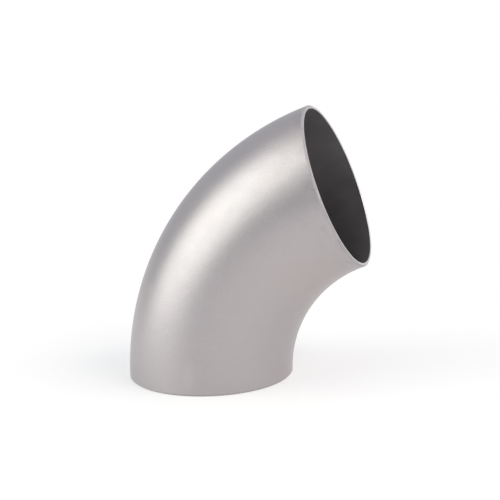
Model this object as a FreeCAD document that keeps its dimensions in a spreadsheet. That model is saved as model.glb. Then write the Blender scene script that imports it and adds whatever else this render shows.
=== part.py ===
import FreeCAD, Part

import os
import Sketcher
from FreeCAD import Vector

# Butt weld elbow in thin stainless tube.
# The origin is the centre of the lower end, +Z runs up the tube there, and the bend turns towards +X.
# Lengths are in millimetres and angles in degrees.

DOCUMENT_NAME = "ButtWeldElbow"
NODE_NAME = "elbow"
PARTS_FOLDER = "parts"

# Sizes that several features share, as expressions on the sheet.
OUTER_RADIUS = "Sizes.outside_diameter / 2"
BORE_RADIUS = "Sizes.outside_diameter / 2 - Sizes.wall"

# A sketch's own origin point and horizontal axis, as constraints name them.
ORIGIN_POINT = (-1, 1)
HORIZONTAL_AXIS = -1

# Each row of the sheet holds a size's name, its value and what it measures.
SIZES = (
    ("outside_diameter", 76.1, "outside diameter of the tube"),
    ("wall", 1.6, "thickness of the tube's wall"),
    ("bend_radius", 95.0, "from the bend's axis to the middle of the tube"),
    ("bend_angle", 70.0, "angle that the tube turns through"),
    ("outer_bevel", 0.7, "bevel on the outer corner of each end"),
    ("bore_break", 0.15, "broken edge where each end meets the bore"),
)


def make_sheet(document):
    """Put the driving sizes in a spreadsheet, one named cell each."""
    sheet = document.addObject("Spreadsheet::Sheet", "Sizes")
    for row, (name, value, meaning) in enumerate(SIZES, start=1):
        sheet.set(f"A{row}", meaning)
        sheet.set(f"B{row}", str(value))
        sheet.setAlias(f"B{row}", name)
    document.recompute()
    return sheet


def origin_plane(body, role):
    """Find one of the body's own origin planes by its role."""
    return next(plane for plane in body.Origin.OriginFeatures if plane.Role == role)


def set_size(sketch, name, expression, kind, *where):
    """Add a named dimension to a sketch and tie it to the sheet."""
    value = sketch.evalExpression(expression)
    constraint = sketch.addConstraint(Sketcher.Constraint(kind, *where, value))
    sketch.renameConstraint(constraint, name)
    sketch.setExpression(f"Constraints.{name}", expression)


def draw_end_section(body, sheet):
    """Draw the tube's ring on the ground plane, with the bend's axis beside it."""
    sketch = body.newObject("Sketcher::SketchObject", "EndSection")
    sketch.AttachmentSupport = [(origin_plane(body, "XY_Plane"), "")]
    sketch.MapMode = "FlatFace"

    centre, upward = Vector(0, 0, 0), Vector(0, 0, 1)
    for name, radius in (("OuterRadius", OUTER_RADIUS), ("BoreRadius", BORE_RADIUS)):
        size = sketch.evalExpression(radius)
        circle = sketch.addGeometry(Part.Circle(centre, upward, size), False)
        sketch.addConstraint(Sketcher.Constraint("Coincident", circle, 3, *ORIGIN_POINT))
        set_size(sketch, name, radius, "Radius", circle)

    half_axis = sheet.outside_diameter / 2
    axis_start = Vector(sheet.bend_radius, -half_axis, 0)
    axis_end = Vector(sheet.bend_radius, half_axis, 0)
    axis = sketch.addGeometry(Part.LineSegment(axis_start, axis_end), True)
    sketch.addConstraint(Sketcher.Constraint("Symmetric", axis, 1, axis, 2, HORIZONTAL_AXIS))
    set_size(sketch, "BendRadius", "Sizes.bend_radius", "DistanceX", *ORIGIN_POINT, axis, 1)
    set_size(sketch, "AxisLength", "Sizes.outside_diameter", "DistanceY", axis, 1, axis, 2)
    return sketch


def bend_tube(body, section):
    """Turn the ring about the bend's axis, which makes the curved tube in one piece."""
    bend = body.newObject("PartDesign::Revolution", "Bend")
    bend.Profile = section
    bend.ReferenceAxis = (section, ["Axis0"])
    bend.setExpression("Angle", "Sizes.bend_angle")
    section.Visibility = False
    return bend


def draw_cutter(sketch, name, corner, size, outward):
    """Draw a 45 degree cutter's triangle, standing on the end face across one corner of the wall.

    The corner's distance from the tube's axis and the cut's size are expressions on the sheet.
    An outward cutter takes the tube's outer corner, and the other takes the corner at the bore.
    """
    in_wall, past_wall = ("-", "+") if outward else ("+", "-")
    tip_reach = f"{corner} {in_wall} {size}"
    foot_reach = f"{corner} {past_wall} {size}"
    height = f"2 * {size}"

    tip = Vector(sketch.evalExpression(tip_reach), 0, 0)
    foot = Vector(sketch.evalExpression(foot_reach), 0, 0)
    top = foot + Vector(0, sketch.evalExpression(height), 0)
    base = sketch.addGeometry(Part.LineSegment(tip, foot), False)
    side = sketch.addGeometry(Part.LineSegment(foot, top), False)
    slope = sketch.addGeometry(Part.LineSegment(top, tip), False)

    for line, following in ((base, side), (side, slope), (slope, base)):
        sketch.addConstraint(Sketcher.Constraint("Coincident", line, 2, following, 1))
    for end in (1, 2):
        sketch.addConstraint(Sketcher.Constraint("PointOnObject", base, end, HORIZONTAL_AXIS))
    sketch.addConstraint(Sketcher.Constraint("Vertical", side))
    set_size(sketch, f"{name}Tip", tip_reach, "DistanceX", *ORIGIN_POINT, base, 1)
    set_size(sketch, f"{name}Foot", foot_reach, "DistanceX", *ORIGIN_POINT, base, 2)
    set_size(sketch, f"{name}Height", height, "DistanceY", side, 1, side, 2)


def prepare_lower_end(body):
    """Bevel the outer corner and break the bore's edge, turning about the tube's own axis."""
    sketch = body.newObject("Sketcher::SketchObject", "EndCutters")
    sketch.AttachmentSupport = [(origin_plane(body, "XZ_Plane"), "")]
    sketch.MapMode = "FlatFace"
    draw_cutter(sketch, "Bevel", OUTER_RADIUS, "Sizes.outer_bevel", outward=True)
    draw_cutter(sketch, "Break", BORE_RADIUS, "Sizes.bore_break", outward=False)

    groove = body.newObject("PartDesign::Groove", "LowerEnd")
    groove.Profile = sketch
    groove.ReferenceAxis = (sketch, ["V_Axis"])
    groove.Angle = 360
    return groove


def prepare_upper_end(body, lower_end):
    """Repeat the lower end's cuts at the upper end, across the middle of the bend."""
    middle = body.newObject("PartDesign::Plane", "MiddleOfBend")
    middle.AttachmentSupport = [(origin_plane(body, "XY_Plane"), "")]
    middle.MapMode = "FlatFace"
    about_bend_axis = FreeCAD.Rotation(Vector(0, 1, 0), 1)
    middle.AttachmentOffset = FreeCAD.Placement(Vector(), about_bend_axis)
    middle.setExpression("AttachmentOffset.Base.x", "Sizes.bend_radius")
    middle.setExpression("AttachmentOffset.Rotation.Angle", "Sizes.bend_angle / 2")

    mirrored = body.newObject("PartDesign::Mirrored", "UpperEnd")
    mirrored.Originals = [lower_end]
    mirrored.MirrorPlane = (middle, [""])
    body.Tip = mirrored
    return mirrored


def make_elbow(document, sheet):
    """Build the elbow as one body: ring, bend, then the two prepared ends."""
    body = document.addObject("PartDesign::Body", "Elbow")
    body.Label = NODE_NAME
    body.Placement = FreeCAD.Placement()

    section = draw_end_section(body, sheet)
    bend_tube(body, section)
    document.recompute()
    lower_end = prepare_lower_end(body)
    document.recompute()
    prepare_upper_end(body, lower_end)
    document.recompute()
    return body


def check_document(document, body):
    """Stop if any object failed to build or the elbow isn't one sound solid."""
    for item in document.Objects:
        if "Invalid" in item.State or "Error" in item.State:
            raise RuntimeError(f"{item.Name} did not build: {item.State}")
    if body.Shape.isNull() or not body.Shape.isValid():
        raise RuntimeError(f"{body.Label} has no sound shape")
    if len(body.Shape.Solids) != 1:
        raise RuntimeError(f"{body.Label} should be one solid")


def main():
    document = FreeCAD.newDocument(DOCUMENT_NAME)
    sheet = make_sheet(document)
    elbow = make_elbow(document, sheet)
    check_document(document, elbow)

    os.makedirs(PARTS_FOLDER, exist_ok=True)
    elbow.Shape.exportStep(os.path.join(PARTS_FOLDER, f"{elbow.Label}.step"))
    box = elbow.Shape.optimalBoundingBox(False)
    print(f"{elbow.Label}: {elbow.Shape.Volume:.1f} mm3, {len(elbow.Shape.Faces)} faces")
    print(f"x {box.XMin:.2f} to {box.XMax:.2f}, y {box.YMin:.2f} to {box.YMax:.2f}")
    print(f"z {box.ZMin:.2f} to {box.ZMax:.2f}")


main()
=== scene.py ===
import math

import bpy
from mathutils import Matrix, Vector


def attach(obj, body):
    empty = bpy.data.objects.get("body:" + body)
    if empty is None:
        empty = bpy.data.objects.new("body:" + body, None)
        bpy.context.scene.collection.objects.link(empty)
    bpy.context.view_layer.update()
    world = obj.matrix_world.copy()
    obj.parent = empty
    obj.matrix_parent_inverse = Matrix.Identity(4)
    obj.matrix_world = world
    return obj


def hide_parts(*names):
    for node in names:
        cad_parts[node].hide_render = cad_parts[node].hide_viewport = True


# A butt weld elbow of thin satin stainless tube, standing on its lower end.
# Lengths are in metres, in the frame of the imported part, where the bend turns towards +X.

MM = 0.001
NODE = "elbow"

# The tube, as the construction has it.
OUTER_RADIUS = 38.05 * MM
WALL = 1.6 * MM
BORE_RADIUS = OUTER_RADIUS - WALL
BEND_RADIUS = 95.0 * MM
BEND_ANGLE = math.radians(70.0)
OUTER_BEVEL = 0.7 * MM
BORE_BREAK = 0.15 * MM

# The corners of the bevel and of the broken edge are rounded a little. The line that is drawn
# across an end starts and stops on the walls at WALL_START, well past both cuts.
BEVEL_ROUNDING = 0.2 * MM
BORE_ROUNDING = 0.1 * MM
ROUNDING_STEPS = 3
WALL_START = 3 * OUTER_BEVEL

# How finely the shell is divided, along the bend and round the tube.
OUTER_ROWS = 110
BORE_ROWS = 60
COLUMNS = 240

# The finishes, in the order of the shell's material slots.
SATIN, BEVEL, CUT, BORE = range(4)

# The attribute that holds each point's place on the straightened tube.
STRAIGHT = "straight"

# The photograph's viewpoint. The focal length is in pixels of a frame of 500.
FRAME_PIXELS = 500
FOCAL_PIXELS = 1460.7
SENSOR_MM = 36.0
CAMERA_AZIMUTH = 14.87
CAMERA_ELEVATION = 12.10
CAMERA_ROLL = -2.05
CAMERA_DISTANCE = 0.6681
CAMERA_AIM = Vector((0.02074, 0.0, 0.05891))

# Finish of the metal, as linear colours: the blasted outside with its darker marks, a lighter smudge
# and a painted highlight, the dull outer bevels, the brighter cut faces, and the bore, painted dark
# grey as the shade inside it.
SATIN_WARM = (0.482, 0.441, 0.434, 1)
SATIN_COOL = (0.469, 0.438, 0.443, 1)
SATIN_DARK = (0.36, 0.335, 0.345, 1)
# A lighter colour, for a smudge and for a painted highlight at a dent.
SMUDGE_AND_GLINT_LIGHT = (0.60, 0.57, 0.57, 1)
SATIN_ROUGHNESS = (0.37, 0.40)
BEVEL_COLOUR = (0.500, 0.475, 0.480, 1)
BEVEL_SHADE = (0.475, 0.451, 0.456, 1)
BEVEL_ROUGHNESS = (0.72, 0.80)
CUT_COLOUR = (0.68, 0.66, 0.67, 1)
CUT_SHADE = (0.63, 0.61, 0.62, 1)
CUT_ROUGHNESS = (0.38, 0.46)
# The bore's colours are painted shade: a dark grey, far darker than the steel outside.
BORE_PAINTED_SHADE = (0.236, 0.224, 0.226, 1)
BORE_PAINTED_SHADE_STREAK = (0.226, 0.214, 0.216, 1)
BORE_ROUGHNESS = (0.55, 0.62)

# Relief and patterns, laid on the straightened tube. A scale is the number of features in a metre,
# the same every way or given for the two ways across the tube and the way along it.
GRAIN_SCALE = 1500.0
GRAIN_SHARPNESS = 0.6
GRAIN_DEPTH = 0.10 * MM
BORE_GRAIN_DEPTH = 0.03 * MM
WAVE_SCALE = (70.0, 70.0, 16.0)
WAVE_DEPTH = 0.05 * MM
DRAWN_SCALE = (240.0, 240.0, 6.0)
DRAWN_DEPTH = 0.016 * MM
CUT_RELIEF_SCALE = (260.0, 260.0, 4000.0)
CUT_RELIEF_DEPTH = 0.01 * MM
TINT_SCALE = (24.0, 24.0, 14.0)
BEVEL_TINT_SCALE = 400.0
CUT_TINT_SCALE = 300.0
STREAK_SCALE = (420.0, 420.0, 30.0)
SPECKLE_SCALE = 1900.0
SPECKLE_SHARE = 0.19
GLOSS_SCALE = 160.0
CUT_GLOSS_SCALE = 500.0
BORE_GLOSS_SCALE = 90.0

# Most of a noise's values lie between these two. A seed moves the noise this way.
NOISE_LOW = 0.35
NOISE_HIGH = 0.65
SEED_SHIFT = (1.0, 1.7, 0.6)

# Marks of handling: blotches just below the upper end. On the front, a lighter smudge near the foot,
# and a painted highlight where a dent near the mouth catches the light.
BLOTCH_SCALE = (130.0, 130.0, 170.0)
BLOTCH_START = 0.45
BLOTCH_REACH = 20.0 * MM
BLOTCH_SHARE = 0.30

# Each spot has its angle round the tube in degrees, its distance along it and its size in
# millimetres, and its strength, which is full up to the first share of the size and gone at the other.
SPOT_FULL = 0.3
SPOT_GONE = 1.2
SMUDGE_AND_GLINT_SPOTS = (
    # A lighter smudge near the foot.
    (90.0, 9.0, (3.2, 3.2, 8.0), 0.17),
    # A painted highlight, where a dent near the mouth catches the light.
    (84.0, 112.5, (2.5, 2.5, 3.0), 0.22),
)

# The level way from the front to beyond the elbow, along which floor and room grow brighter.
BEYOND = Vector((0.45, 0.89, 0.0))

# The floor is an even white from FLOOR_FAR on. Nearer the elbow a share of it is lit, which keeps
# the shadow. In front, from FLOOR_MIDDLE to FLOOR_FRONT along BEYOND, it fades to a lit pale grey,
# which is painted shade for the dimmer light on that side.
FLOOR_SIZE = 24.0
FLOOR_COLOUR = (0.95, 0.95, 0.95, 1)
FLOOR_NEAR = 0.10
FLOOR_FAR = 0.45
FLOOR_NEAR_WHITE = 0.46
FLOOR_FRONT = -0.60
FLOOR_MIDDLE = -0.18
FLOOR_FRONT_WHITE = 0.2
# Painted shade: the floor's grey in front, for the dimmer light there.
FLOOR_FRONT_PAINTED_SHADE = (0.55, 0.55, 0.56, 1)

# The room's own light is dimmer in front than beyond the elbow.
ROOM_DIM = (0.279, 0.291, 0.330, 1)
ROOM_BRIGHT = (0.664, 0.680, 0.731, 1)
ROOM_DIM_UNTIL = -0.8
ROOM_BRIGHT_FROM = 0.32

# Softboxes: name, middle, the point that it faces, width, height, brightness and colour.
SOFTBOXES = (
    ("key", (-1.126, -0.650, 0.86), (0.0, 0.0, 0.86), 1.46, 1.68, 2.29, (0.967, 1.0, 0.941)),
    ("right", (1.1, -0.3, 1.05), (0.0, -0.05, 0.05), 1.5, 0.9, 3.56, (1.0, 0.92, 0.85)),
    ("over", (-0.85, -0.1, 1.5), (-0.85, -0.1, 0.0), 0.9, 1.1, 0.64, (1.0, 0.948, 0.838)),
)


def tube_point(turn, around, radius):
    """A point on a tube of this radius, turned through the bend and round the section.

    Around is 0 on the outside of the bend, and a quarter turn later it faces the front.
    """
    reach = BEND_RADIUS + radius * math.cos(around)
    return Vector((
        BEND_RADIUS - reach * math.cos(turn),
        -radius * math.sin(around),
        reach * math.sin(turn),
    ))


def outward(turn, around):
    """Which way the tube's outer surface faces there."""
    return Vector((
        -math.cos(around) * math.cos(turn),
        -math.sin(around),
        math.cos(around) * math.sin(turn),
    ))


def along(turn):
    """Which way the tube runs there, from its lower end to its upper end."""
    return Vector((math.sin(turn), 0.0, math.cos(turn)))


def on_straight_tube(around, radius, distance):
    """The same place on the straightened tube, this far along it."""
    return radius * math.cos(around), radius * math.sin(around), distance


def rounded(corners, radii):
    """A broken line with its inner corners rounded, as points with the side they face.

    The line is walked from the outer wall to the bore. Each point is a radius and a height.
    """
    path = []
    for before, corner, after, radius in zip(corners, corners[1:], corners[2:], radii):
        arriving = (Vector(corner) - Vector(before)).normalized()
        leaving = (Vector(after) - Vector(corner)).normalized()
        cut = radius * math.tan(arriving.angle(leaving) / 2)
        side_in = Vector((-arriving.y, arriving.x))
        side_out = Vector((-leaving.y, leaving.x))
        centre = Vector(corner) - arriving * cut - side_in * radius
        start = math.atan2(side_in.y, side_in.x)
        stop = math.atan2(side_out.y, side_out.x)
        turned = (stop - start + math.pi) % (2 * math.pi) - math.pi
        for step in range(ROUNDING_STEPS + 1):
            angle = start + turned * (step / ROUNDING_STEPS)
            facing = Vector((math.cos(angle), math.sin(angle)))
            path.append((centre + facing * radius, facing))
    return path


def end_profile():
    """The cut end from the outer wall to the bore: an outer bevel, a flat land and a broken edge."""
    corners = (
        (OUTER_RADIUS, WALL_START),
        (OUTER_RADIUS, OUTER_BEVEL),
        (OUTER_RADIUS - OUTER_BEVEL, 0.0),
        (BORE_RADIUS + BORE_BREAK, 0.0),
        (BORE_RADIUS, BORE_BREAK),
        (BORE_RADIUS, WALL_START),
    )
    radii = (BEVEL_ROUNDING, BEVEL_ROUNDING, BORE_ROUNDING, BORE_ROUNDING)
    return rounded(corners, radii)


def wall_rows(around, radius, height, rows, facing):
    """Points along one wall, between the places where the two ends' profiles meet it."""
    reach = BEND_RADIUS + radius * math.cos(around)
    first = math.asin(height / reach)
    last = BEND_ANGLE - first
    for i in range(rows + 1):
        turn = first + (last - first) * i / rows
        place = on_straight_tube(around, radius, BEND_RADIUS * turn)
        yield tube_point(turn, around, radius), outward(turn, around) * facing, place


def end_rows(profile, around, turn, inward):
    """Points across one cut end. Inward is 1 at the lower end and -1 at the upper one."""
    centre = tube_point(turn, 0.0, 0.0)
    radial = outward(turn, around)
    axis = along(turn) * inward
    for (radius, height), facing in profile:
        point = centre + radial * radius + axis * height
        normal = radial * facing.x + axis * facing.y
        place = on_straight_tube(around, radius, BEND_RADIUS * turn + height * inward)
        yield point, normal, place


def shell_column(around, profile):
    """The closed line round the wall's thickness at one place round the tube."""
    outer_height = profile[0][0].y
    bore_height = profile[-1][0].y
    inner = profile[1:-1]
    column = list(wall_rows(around, OUTER_RADIUS, outer_height, OUTER_ROWS, 1))
    column += end_rows(inner, around, BEND_ANGLE, -1)
    column += reversed(list(wall_rows(around, BORE_RADIUS, bore_height, BORE_ROWS, -1)))
    column += end_rows(inner[::-1], around, 0.0, 1)
    return column


def row_finishes(profile):
    """The finish of each row of faces, in the order of the column's points.

    The bevel's finish covers its first rounding, its slope and one step of the second rounding.
    """
    bevel_rows = ROUNDING_STEPS + 2
    cut_rows = len(profile) - 1 - bevel_rows
    upper_end = [BEVEL] * bevel_rows + [CUT] * cut_rows
    return [SATIN] * OUTER_ROWS + upper_end + [BORE] * BORE_ROWS + upper_end[::-1]


def shell_points(profile):
    """The shell's points, their normals and their places on the straightened tube."""
    points, normals, places = [], [], []
    for j in range(COLUMNS):
        for point, normal, place in shell_column(2 * math.pi * j / COLUMNS, profile):
            points.append(point)
            normals.append(normal)
            places.extend(place)
    return points, normals, places


def shell_faces(finishes):
    """The shell's faces and the finish of each. The last column joins the first."""
    count = len(finishes)
    faces, slots = [], []
    for j in range(COLUMNS):
        here, beside = j * count, (j + 1) % COLUMNS * count
        for i, finish in enumerate(finishes):
            up = (i + 1) % count
            faces.append((here + i, beside + i, beside + up, here + up))
            slots.append(finish)
    return faces, slots


def build_shell():
    """The elbow's skin as one closed mesh."""
    profile = end_profile()
    points, normals, places = shell_points(profile)
    faces, slots = shell_faces(row_finishes(profile))
    mesh = bpy.data.meshes.new("elbow_shell")
    mesh.from_pydata(points, [], faces)
    mesh.polygons.foreach_set("material_index", slots)
    mesh.polygons.foreach_set("use_smooth", [True] * len(faces))
    attribute = mesh.attributes.new(STRAIGHT, "FLOAT_VECTOR", "POINT")
    attribute.data.foreach_set("vector", places)
    mesh.update()
    mesh.normals_split_custom_set_from_vertices(normals)
    return mesh


def add_node(tree, kind, **settings):
    """A new node of this kind, with its settings."""
    node = tree.nodes.new(kind)
    for name, value in settings.items():
        setattr(node, name, value)
    return node


def ramp(tree, value, start, stop, low, high):
    """Take a value smoothly from low, at start and before it, to high, at stop and past it."""
    node = add_node(tree, "ShaderNodeMapRange", interpolation_type="SMOOTHSTEP")
    node.inputs["From Min"].default_value = start
    node.inputs["From Max"].default_value = stop
    node.inputs["To Min"].default_value = low
    node.inputs["To Max"].default_value = high
    tree.links.new(value, node.inputs["Value"])
    return node.outputs["Result"]


def calculate(tree, operation, first, second, clamp=False):
    """The sum or product of two values, kept between 0 and 1 where it is clamped."""
    node = add_node(tree, "ShaderNodeMath", operation=operation, use_clamp=clamp)
    tree.links.new(first, node.inputs[0])
    tree.links.new(second, node.inputs[1])
    return node.outputs["Value"]


def change_vector(tree, operation, vector, constant):
    """A vector less a constant one, or divided by it."""
    node = add_node(tree, "ShaderNodeVectorMath", operation=operation)
    node.inputs[1].default_value = constant
    tree.links.new(vector, node.inputs[0])
    return node.outputs["Vector"]


def length(tree, vector):
    """How long a vector is."""
    node = add_node(tree, "ShaderNodeVectorMath", operation="LENGTH")
    tree.links.new(vector, node.inputs[0])
    return node.outputs["Value"]


def reach_beyond(tree, vector):
    """How far a vector reaches along BEYOND."""
    node = add_node(tree, "ShaderNodeVectorMath", operation="DOT_PRODUCT")
    node.inputs[1].default_value = BEYOND
    tree.links.new(vector, node.inputs[0])
    return node.outputs["Value"]


def mix_colours(tree, share, first, second):
    """A mix of two colours, either of which may be another node's output."""
    node = add_node(tree, "ShaderNodeMix", data_type="RGBA")
    tree.links.new(share, node.inputs["Factor"])
    for socket, colour in ((node.inputs["A"], first), (node.inputs["B"], second)):
        if isinstance(colour, tuple):
            socket.default_value = colour
        else:
            tree.links.new(colour, socket)
    return node.outputs["Result"]


class Metal:
    """A metal whose texture follows the bend, because it is laid on the straightened tube."""

    def __init__(self, name):
        self.material = bpy.data.materials.new(name)
        self.material.use_nodes = True
        self.tree = self.material.node_tree
        self.shader = self.tree.nodes["Principled BSDF"]
        self.shader.inputs["Metallic"].default_value = 1.0
        attribute = add_node(self.tree, "ShaderNodeAttribute", attribute_name=STRAIGHT)
        self.place = attribute.outputs["Vector"]
        self.relief = None

    def link(self, output, socket):
        self.tree.links.new(output, socket)

    def noise(self, scale, detail=2.0, roughness=0.5, seed=0.0):
        """Noise with this many features in a metre, one number for every way or one for each."""
        stretch = add_node(self.tree, "ShaderNodeMapping")
        stretch.inputs["Scale"].default_value = scale if isinstance(scale, tuple) else (scale,) * 3
        stretch.inputs["Location"].default_value = [seed * shift for shift in SEED_SHIFT]
        texture = add_node(self.tree, "ShaderNodeTexNoise")
        texture.inputs["Scale"].default_value = 1.0
        texture.inputs["Detail"].default_value = detail
        texture.inputs["Roughness"].default_value = roughness
        self.link(self.place, stretch.inputs["Vector"])
        self.link(stretch.outputs["Vector"], texture.inputs["Vector"])
        return texture.outputs["Fac"]

    def spread(self, noise, low, high, start=NOISE_LOW):
        """Widen a noise to run smoothly from low, at start and below it, to high."""
        return ramp(self.tree, noise, start, NOISE_HIGH, low, high)

    def blend(self, share, first, second):
        """A mix of two of the metal's colours."""
        return mix_colours(self.tree, share, first, second)

    def raise_surface(self, height, depth):
        """Add relief of this depth to what the metal already has."""
        bump = add_node(self.tree, "ShaderNodeBump")
        bump.inputs["Distance"].default_value = depth
        self.link(height, bump.inputs["Height"])
        if self.relief:
            self.link(self.relief, bump.inputs["Normal"])
        self.relief = bump.outputs["Normal"]

    def finish(self, colour, roughness):
        """Join colour, roughness and relief to the shader."""
        self.link(colour, self.shader.inputs["Base Color"])
        self.link(roughness, self.shader.inputs["Roughness"])
        self.link(self.relief, self.shader.inputs["Normal"])
        return self.material


def blotches(metal):
    """Soft dark blotches that fade out down the tube from its upper end."""
    place = add_node(metal.tree, "ShaderNodeSeparateXYZ")
    metal.link(metal.place, place.inputs["Vector"])
    end = BEND_RADIUS * BEND_ANGLE
    near = ramp(metal.tree, place.outputs["Z"], end - BLOTCH_REACH, end, 0.0, BLOTCH_SHARE)
    noise = metal.noise(BLOTCH_SCALE, detail=3.0, seed=17.0)
    patches = metal.spread(noise, 0.0, 1.0, start=BLOTCH_START)
    return calculate(metal.tree, "MULTIPLY", near, patches)


def smudge_and_glint_spot(metal, around, distance, size, strength):
    """A soft lighter spot, used as a smudge and as a painted highlight, at this many degrees round the
    tube, and this far along it in millimetres.
    """
    centre = Vector(on_straight_tube(math.radians(around), OUTER_RADIUS, distance * MM))
    offset = change_vector(metal.tree, "SUBTRACT", metal.place, centre)
    share = change_vector(metal.tree, "DIVIDE", offset, Vector(size) * MM)
    return ramp(metal.tree, length(metal.tree, share), SPOT_FULL, SPOT_GONE, strength, 0.0)


def satin_steel():
    """Blasted steel: fine grain, faint lines along the tube, warmer and cooler areas, marks, and a
    painted highlight at a dent.
    """
    metal = Metal("satin_steel")
    metal.raise_surface(metal.noise(WAVE_SCALE, detail=1.0, seed=3.0), WAVE_DEPTH)
    metal.raise_surface(metal.noise(DRAWN_SCALE, detail=1.0, seed=14.0), DRAWN_DEPTH)
    metal.raise_surface(metal.noise(GRAIN_SCALE, roughness=GRAIN_SHARPNESS), GRAIN_DEPTH)
    tint = metal.spread(metal.noise(TINT_SCALE, seed=11.0), 0.0, 1.0)
    colour = metal.blend(tint, SATIN_WARM, SATIN_COOL)
    speckle = metal.spread(metal.noise(SPECKLE_SCALE, seed=21.0), 0.0, SPECKLE_SHARE)
    colour = metal.blend(speckle, colour, SATIN_DARK)
    colour = metal.blend(blotches(metal), colour, SATIN_DARK)
    # Lighter spots: a smudge, and a painted highlight at a dent near the mouth.
    for spot in SMUDGE_AND_GLINT_SPOTS:
        colour = metal.blend(smudge_and_glint_spot(metal, *spot), colour, SMUDGE_AND_GLINT_LIGHT)
    roughness = metal.spread(metal.noise(GLOSS_SCALE, seed=5.0), *SATIN_ROUGHNESS)
    return metal.finish(colour, roughness)


def dull_bevel():
    """The outer bevel: blasted like the wall, but duller."""
    metal = Metal("dull_bevel")
    grain = metal.noise(GRAIN_SCALE, roughness=GRAIN_SHARPNESS, seed=8.0)
    metal.raise_surface(grain, GRAIN_DEPTH)
    tint = metal.spread(metal.noise(BEVEL_TINT_SCALE, seed=12.0), 0.0, 1.0)
    colour = metal.blend(tint, BEVEL_COLOUR, BEVEL_SHADE)
    roughness = metal.spread(metal.noise(GLOSS_SCALE, seed=5.0), *BEVEL_ROUGHNESS)
    return metal.finish(colour, roughness)


def cut_edge():
    """The faced ends: brighter steel, a little uneven round the ring."""
    metal = Metal("cut_edge")
    metal.raise_surface(metal.noise(CUT_RELIEF_SCALE, seed=2.0), CUT_RELIEF_DEPTH)
    tint = metal.spread(metal.noise(CUT_TINT_SCALE), 0.0, 1.0)
    colour = metal.blend(tint, CUT_COLOUR, CUT_SHADE)
    roughness = metal.spread(metal.noise(CUT_GLOSS_SCALE, seed=7.0), *CUT_ROUGHNESS)
    return metal.finish(colour, roughness)


def bore_painted_shade():
    """The bore: dull, with faint streaks along the tube, and painted dark grey as the shade inside it.
    """
    metal = Metal("bore_painted_shade")
    grain = metal.noise(GRAIN_SCALE, roughness=GRAIN_SHARPNESS, seed=9.0)
    metal.raise_surface(grain, BORE_GRAIN_DEPTH)
    streaks = metal.spread(metal.noise(STREAK_SCALE, detail=3.0, seed=4.0), 0.0, 1.0)
    # Painted shade: the bore is coloured dark grey for the shade inside the tube.
    colour = metal.blend(streaks, BORE_PAINTED_SHADE, BORE_PAINTED_SHADE_STREAK)
    roughness = metal.spread(metal.noise(BORE_GLOSS_SCALE, seed=6.0), *BORE_ROUGHNESS)
    return metal.finish(colour, roughness)


def make_elbow():
    """The dressed elbow, which stands for the node of the same shape."""
    mesh = build_shell()
    for material in (satin_steel(), dull_bevel(), cut_edge(), bore_painted_shade()):
        mesh.materials.append(material)
    shell = bpy.data.objects.new("elbow_shell", mesh)
    bpy.context.scene.collection.objects.link(shell)
    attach(shell, "root")
    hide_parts(NODE)


def floor_shares(tree):
    """How clear of the elbow the floor is, and how far behind the painted shade in front, each up to
    1.
    """
    place = add_node(tree, "ShaderNodeNewGeometry").outputs["Position"]
    clear = ramp(tree, length(tree, place), FLOOR_NEAR, FLOOR_FAR, FLOOR_NEAR_WHITE, 1.0)
    beyond = reach_beyond(tree, place)
    behind = ramp(tree, beyond, FLOOR_FRONT, FLOOR_MIDDLE, FLOOR_FRONT_WHITE, 1.0)
    return clear, behind


def shown_rays(tree):
    """1 for rays that show the floor itself, straight, in gloss or through glass, and 0 for others."""
    rays = add_node(tree, "ShaderNodeLightPath").outputs
    shown = calculate(tree, "ADD", rays["Is Camera Ray"], rays["Is Glossy Ray"])
    return calculate(tree, "ADD", shown, rays["Is Transmission Ray"], clamp=True)


def floor_material():
    """White, with the elbow's shadow near it, an even white beyond it, and a pale grey painted shade
    in front.
    """
    material = bpy.data.materials.new("floor")
    material.use_nodes = True
    tree = material.node_tree
    tree.nodes.clear()
    clear, behind = floor_shares(tree)

    lit = add_node(tree, "ShaderNodeBsdfDiffuse")
    # In front the floor is painted grey, as shade.
    paint = mix_colours(tree, behind, FLOOR_FRONT_PAINTED_SHADE, FLOOR_COLOUR)
    tree.links.new(paint, lit.inputs["Color"])
    even = add_node(tree, "ShaderNodeEmission")
    even.inputs["Strength"].default_value = 1.0

    white = calculate(tree, "MULTIPLY", clear, behind)
    mix = add_node(tree, "ShaderNodeMixShader")
    tree.links.new(calculate(tree, "MULTIPLY", white, shown_rays(tree)), mix.inputs["Fac"])
    tree.links.new(lit.outputs[0], mix.inputs[1])
    tree.links.new(even.outputs[0], mix.inputs[2])
    output = add_node(tree, "ShaderNodeOutputMaterial")
    tree.links.new(mix.outputs[0], output.inputs["Surface"])
    return material


def make_floor():
    """A plain level floor under the elbow."""
    mesh = bpy.data.meshes.new("floor")
    half = FLOOR_SIZE / 2
    corners = [(-half, -half, 0), (half, -half, 0), (half, half, 0), (-half, half, 0)]
    mesh.from_pydata(corners, [], [(0, 1, 2, 3)])
    mesh.materials.append(floor_material())
    floor = bpy.data.objects.new("floor", mesh)
    bpy.context.scene.collection.objects.link(floor)


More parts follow.
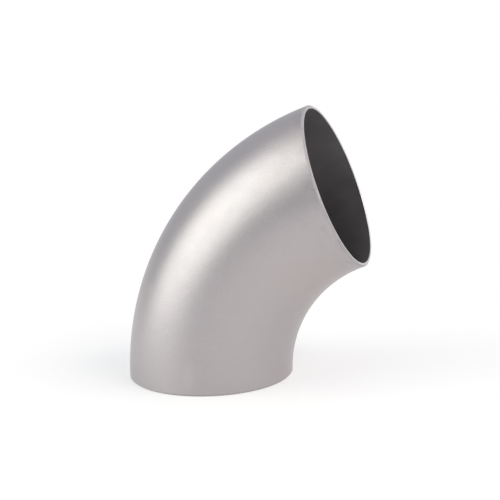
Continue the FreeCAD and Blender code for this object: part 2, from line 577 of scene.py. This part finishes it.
def make_room():
    """Plain light from all round, dimmer in front."""
    world = bpy.data.worlds.new("room")
    world.use_nodes = True
    tree = world.node_tree
    direction = add_node(tree, "ShaderNodeTexCoord").outputs["Generated"]
    beyond = reach_beyond(tree, direction)
    level = ramp(tree, beyond, ROOM_DIM_UNTIL, ROOM_BRIGHT_FROM, 0.0, 1.0)
    colour = mix_colours(tree, level, ROOM_DIM, ROOM_BRIGHT)
    tree.links.new(colour, tree.nodes["Background"].inputs["Color"])
    bpy.context.scene.world = world


def make_softbox(name, middle, faces, wide, high, brightness, colour):
    """A soft rectangular lamp, as bright as its surface looks."""
    data = bpy.data.lights.new(name, "AREA")
    data.shape = "RECTANGLE"
    data.size = wide
    data.size_y = high
    data.energy = brightness * math.pi * wide * high
    data.color = colour
    lamp = bpy.data.objects.new(name, data)
    bpy.context.scene.collection.objects.link(lamp)
    turned = (Vector(middle) - Vector(faces)).to_track_quat("Z", "Y")
    lamp.matrix_world = Matrix.Translation(middle) @ turned.to_matrix().to_4x4()


def make_camera():
    """A camera at the photograph's viewpoint."""
    azimuth, elevation = math.radians(CAMERA_AZIMUTH), math.radians(CAMERA_ELEVATION)
    back = Vector((
        math.sin(azimuth) * math.cos(elevation),
        -math.cos(azimuth) * math.cos(elevation),
        math.sin(elevation),
    ))
    data = bpy.data.cameras.new("camera")
    data.sensor_width = SENSOR_MM
    data.lens = FOCAL_PIXELS / FRAME_PIXELS * SENSOR_MM
    camera = bpy.data.objects.new("camera", data)
    bpy.context.scene.collection.objects.link(camera)
    upright = (-back).to_track_quat("-Z", "Y")
    roll = Matrix.Rotation(math.radians(CAMERA_ROLL), 4, "Z")
    place = Matrix.Translation(CAMERA_AIM + back * CAMERA_DISTANCE)
    camera.matrix_world = place @ upright.to_matrix().to_4x4() @ roll
    bpy.context.scene.camera = camera


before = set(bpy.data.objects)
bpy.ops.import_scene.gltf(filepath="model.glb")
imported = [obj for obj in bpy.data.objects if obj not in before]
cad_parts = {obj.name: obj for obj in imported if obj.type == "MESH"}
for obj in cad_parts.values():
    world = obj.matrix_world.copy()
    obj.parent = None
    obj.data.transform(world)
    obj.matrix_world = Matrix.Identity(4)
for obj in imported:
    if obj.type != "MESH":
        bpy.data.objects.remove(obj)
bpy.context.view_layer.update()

make_elbow()
make_floor()
make_room()
for softbox in SOFTBOXES:
    make_softbox(*softbox)
make_camera()
bpy.context.scene.view_settings.view_transform = "Standard"
